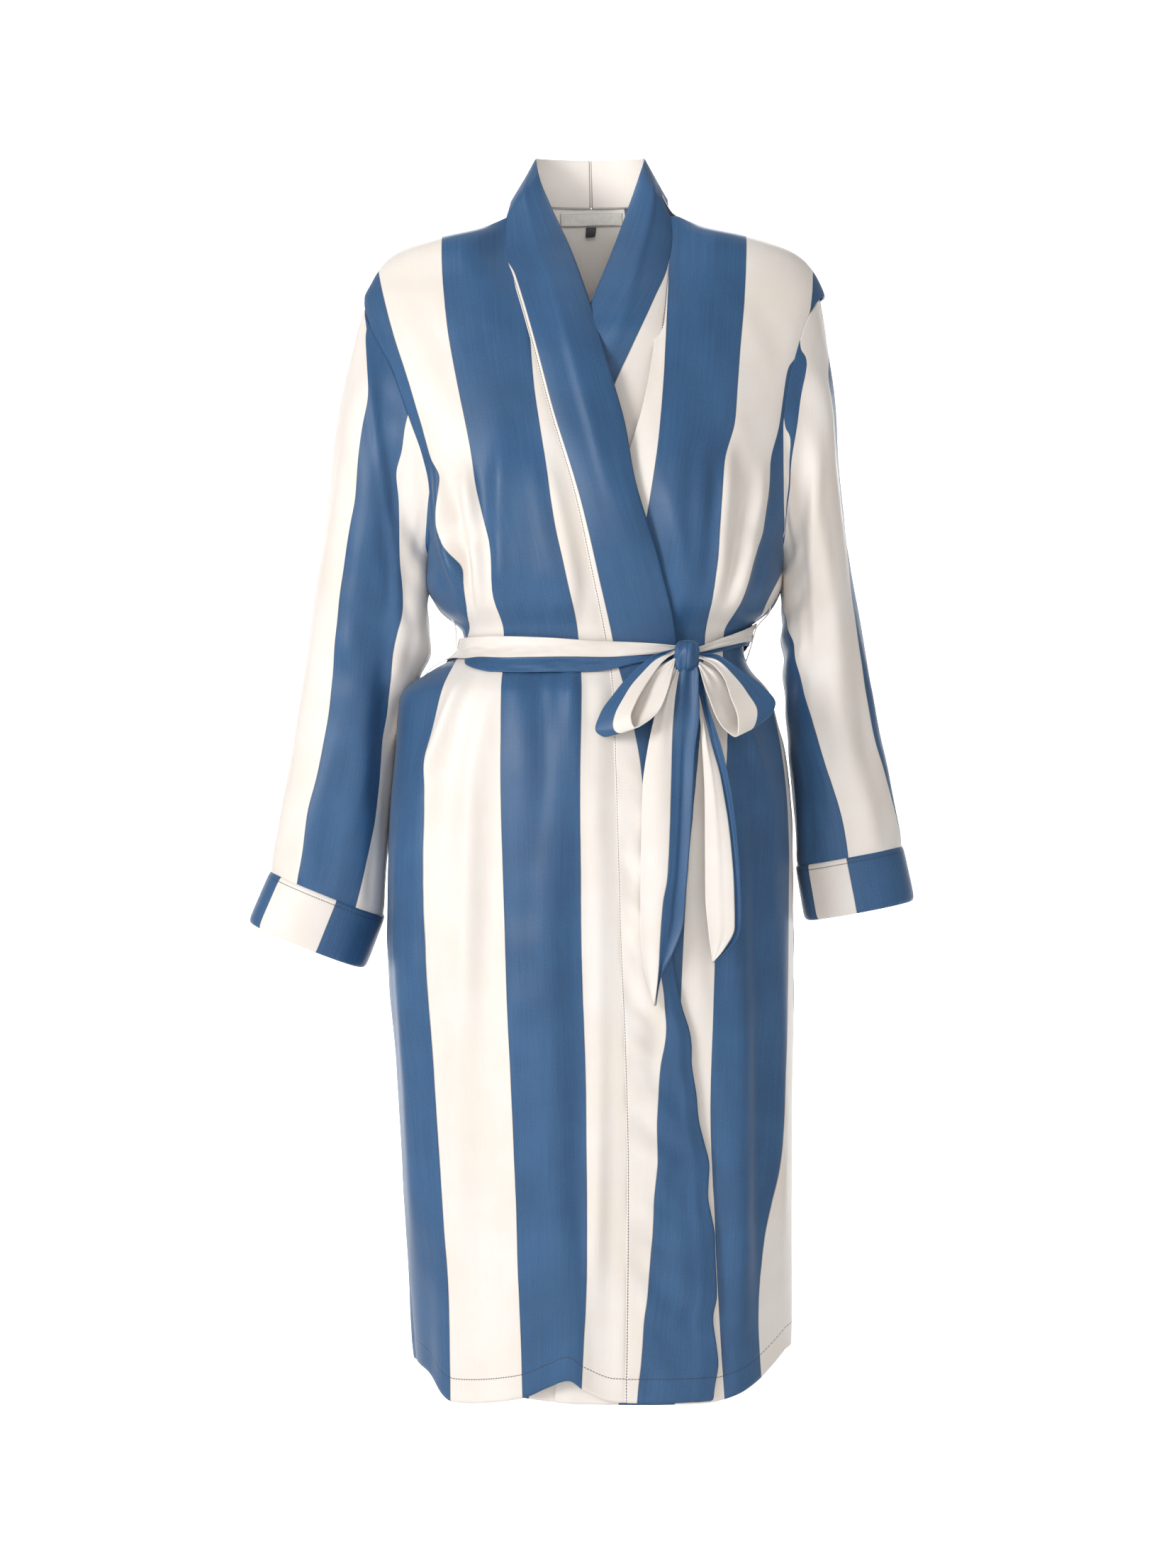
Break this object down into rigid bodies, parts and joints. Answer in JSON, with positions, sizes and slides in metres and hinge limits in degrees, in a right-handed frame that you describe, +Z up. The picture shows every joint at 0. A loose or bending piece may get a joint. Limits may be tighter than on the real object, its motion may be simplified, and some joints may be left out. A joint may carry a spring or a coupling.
{
  "type": "bathrobe",
  "caption": "Striped satin dressing gown with a shawl band collar, long sleeves with deep band cuffs and a tie belt knotted in a bow.",
  "frame": {"origin": "middle of the neck base, at the height of the shoulder seams' inner ends, where a hanger or the wearer's shoulders carry the robe", "axes": "+Z up the robe, front faces -Y, +X towards the wearer's left"},
  "size_m": [0.6099, 0.2652, 1.122],
  "materials": {
    "striped_satin": "satin, wide vertical stripes of blue and cream",
    "band_satin": "satin, blue outside with a sliver of cream, cream inside",
    "belt_satin": "satin, half blue and half cream along its length",
    "label_tape": "plain woven tape, blank",
    "tab_tape": "plain woven tape, blank"
  },
  "bodies": {
    "robe": {"back_panel": "striped_satin", "front_panel_right": "striped_satin", "front_panel_left": "striped_satin", "collar_band_right": "band_satin", "collar_band_left": "band_satin", "belt_waist": "belt_satin", "belt_loop_right": "belt_satin", "belt_loop_left": "belt_satin", "belt_knot": "belt_satin", "neck_label": "label_tape"},
    "right_arm": {"sleeve_right": "striped_satin", "cuff_right": "striped_satin"},
    "left_arm": {"sleeve_left": "striped_satin", "cuff_left": "striped_satin"},
    "right_bow": {"bow_loop_right": "belt_satin"},
    "left_bow": {"bow_loop_left": "belt_satin"},
    "right_tail": {"belt_tail_right": "belt_satin"},
    "left_tail": {"belt_tail_left": "belt_satin"},
    "size_flag": {"size_tab": "tab_tape"}
  },
  "joints": [
    {"name": "right_sleeve_lift", "type": "hinge", "parent": "robe", "child": "right_arm", "pos_m": [-0.213, 0.01, -0.088], "axis": [0, 1, 0], "range_deg": [0, 45]},
    {"name": "left_sleeve_lift", "type": "hinge", "parent": "robe", "child": "left_arm", "pos_m": [0.213, 0.01, -0.088], "axis": [0, -1, 0], "range_deg": [0, 45]},
    {"name": "right_tail_swing", "type": "hinge", "parent": "robe", "child": "right_tail", "pos_m": [0.0805, -0.1124, -0.4297], "axis": [-1, 0, 0], "range_deg": [0, 15]},
    {"name": "left_tail_swing", "type": "hinge", "parent": "robe", "child": "left_tail", "pos_m": [0.0915, -0.1124, -0.4297], "axis": [0, -1, 0], "range_deg": [0, 8]},
    {"name": "right_bow_lift", "type": "hinge", "parent": "robe", "child": "right_bow", "pos_m": [0.0685, -0.112, -0.4075], "axis": [0, 1, 0], "range_deg": [0, 40]},
    {"name": "left_bow_lift", "type": "hinge", "parent": "robe", "child": "left_bow", "pos_m": [0.0935, -0.112, -0.4075], "axis": [0, -1, 0], "range_deg": [0, 40]},
    {"name": "size_tab_fold", "type": "hinge", "parent": "robe", "child": "size_flag", "pos_m": [0, 0.0532, -0.0142], "axis": [-1, 0, 0], "range_deg": [0, 40]}
  ]
}
